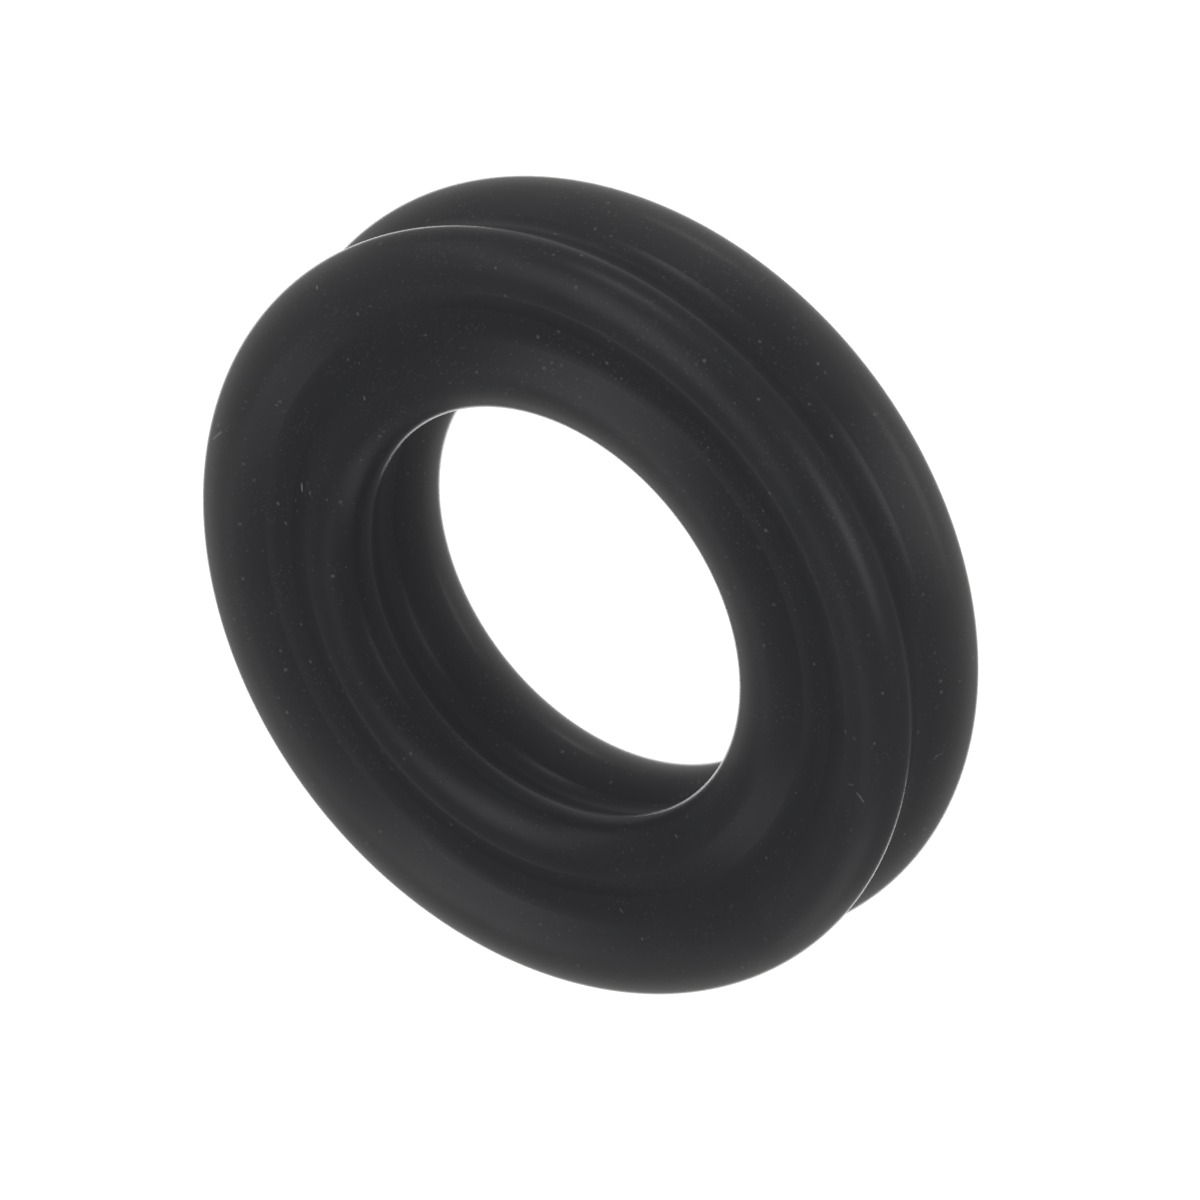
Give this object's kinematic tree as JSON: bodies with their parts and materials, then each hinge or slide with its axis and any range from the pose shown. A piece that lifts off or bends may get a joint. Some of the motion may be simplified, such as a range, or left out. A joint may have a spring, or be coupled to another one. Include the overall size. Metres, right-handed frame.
{
  "type": "shaft seal",
  "caption": "Moulded rubber ring with a lobed, X-shaped section that seals round a shaft and in the groove that holds it.",
  "frame": {"origin": "on the ring's axis, in the plane that the lower lobes rest on", "axes": "+Z along the ring's axis, away from the surface it lies on; the ring is the same all the way round, so X and Y are free"},
  "size_m": [0.0234, 0.0234, 0.0053],
  "materials": {
    "seal_rubber": "charcoal black moulded nitrile rubber, satin, with a few specks of dust"
  },
  "bodies": {
    "root": {"seal_ring": "seal_rubber"}
  },
  "joints": []
}
